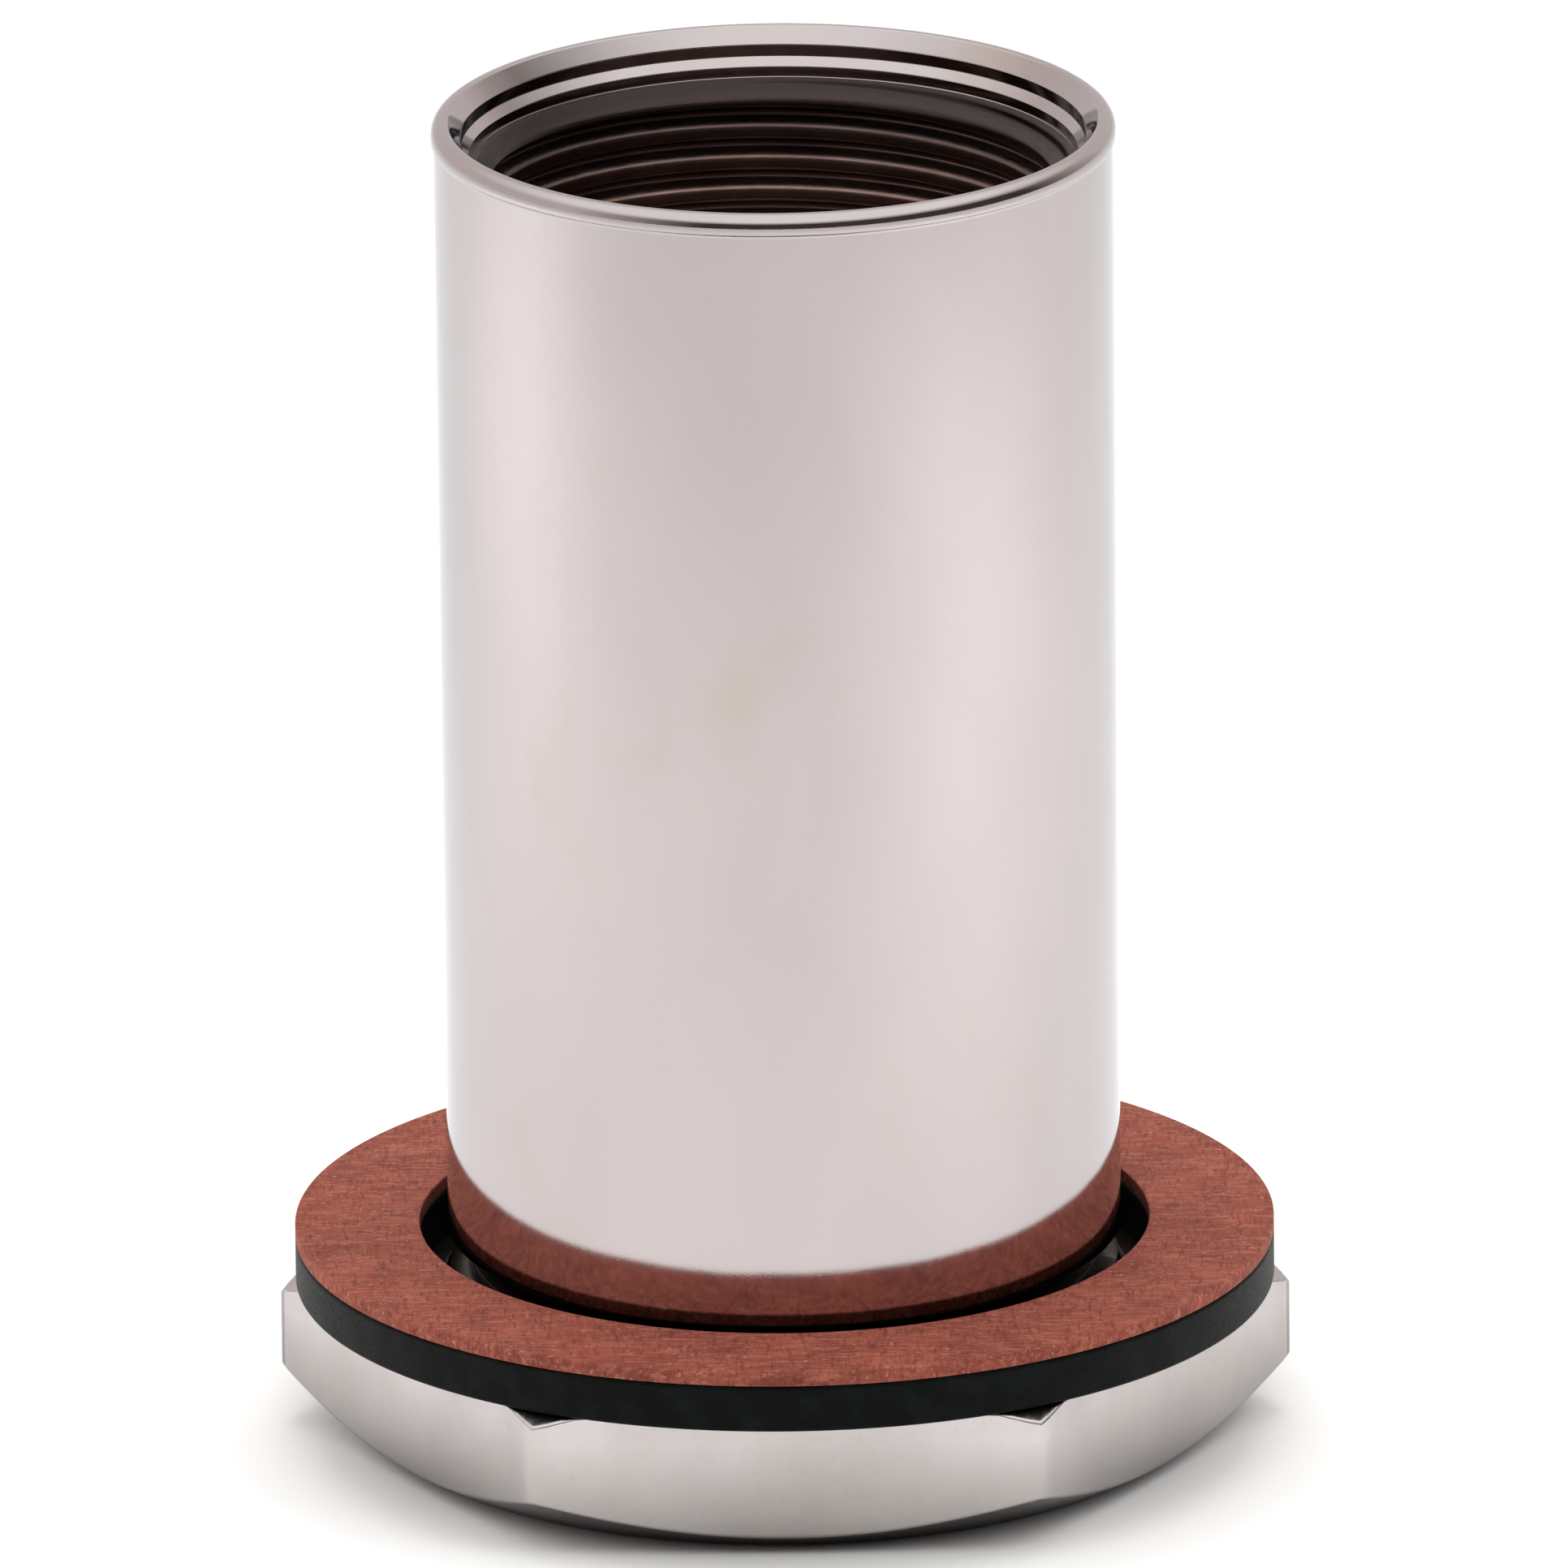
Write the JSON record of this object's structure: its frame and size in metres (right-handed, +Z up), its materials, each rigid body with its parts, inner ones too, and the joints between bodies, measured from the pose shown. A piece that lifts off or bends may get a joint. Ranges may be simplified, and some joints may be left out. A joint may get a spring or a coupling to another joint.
{
  "type": "thru hull fitting",
  "caption": "Upright chromed tube with a threaded mouth, its foot screwed through a hexagonal locknut under a rubber gasket and a red fibre washer.",
  "frame": {"origin": "middle of the foot, on the plane that the locknut and the tube stand on", "axes": "+Z up the tube towards its threaded mouth; two of the locknut's flats face -Y and +Y"},
  "size_m": [0.0722, 0.0698, 0.0966],
  "materials": {
    "chromed_tube": "polished",
    "chromed_nut": "satin",
    "black_rubber": "matte",
    "red_fibre": "matte"
  },
  "bodies": {
    "barrel": {"threaded_barrel": "chromed_tube"},
    "gasket": {"rubber_gasket": "black_rubber"},
    "nut": {"hex_locknut": "chromed_nut"},
    "washer": {"fibre_washer": "red_fibre"}
  },
  "joints": [
    {"name": "nut_travel", "type": "slide", "parent": "barrel", "child": "gasket", "axis": [0, 0, 1], "range_m": [-0.0104, 0.00232]},
    {"name": "nut_turn", "type": "hinge", "parent": "gasket", "child": "nut", "pos_m": [0, 0, 0], "axis": [0, 0, 1], "range_deg": [-1620, 360]},
    {"name": "washer_lift", "type": "slide", "parent": "gasket", "child": "washer", "axis": [0, 0, 1], "range_m": [0, 0.096]}
  ],
  "couplings": [
    {"joint": "nut_travel", "follows": "nut_turn", "m_per_rad": 0.00036749}
  ]
}
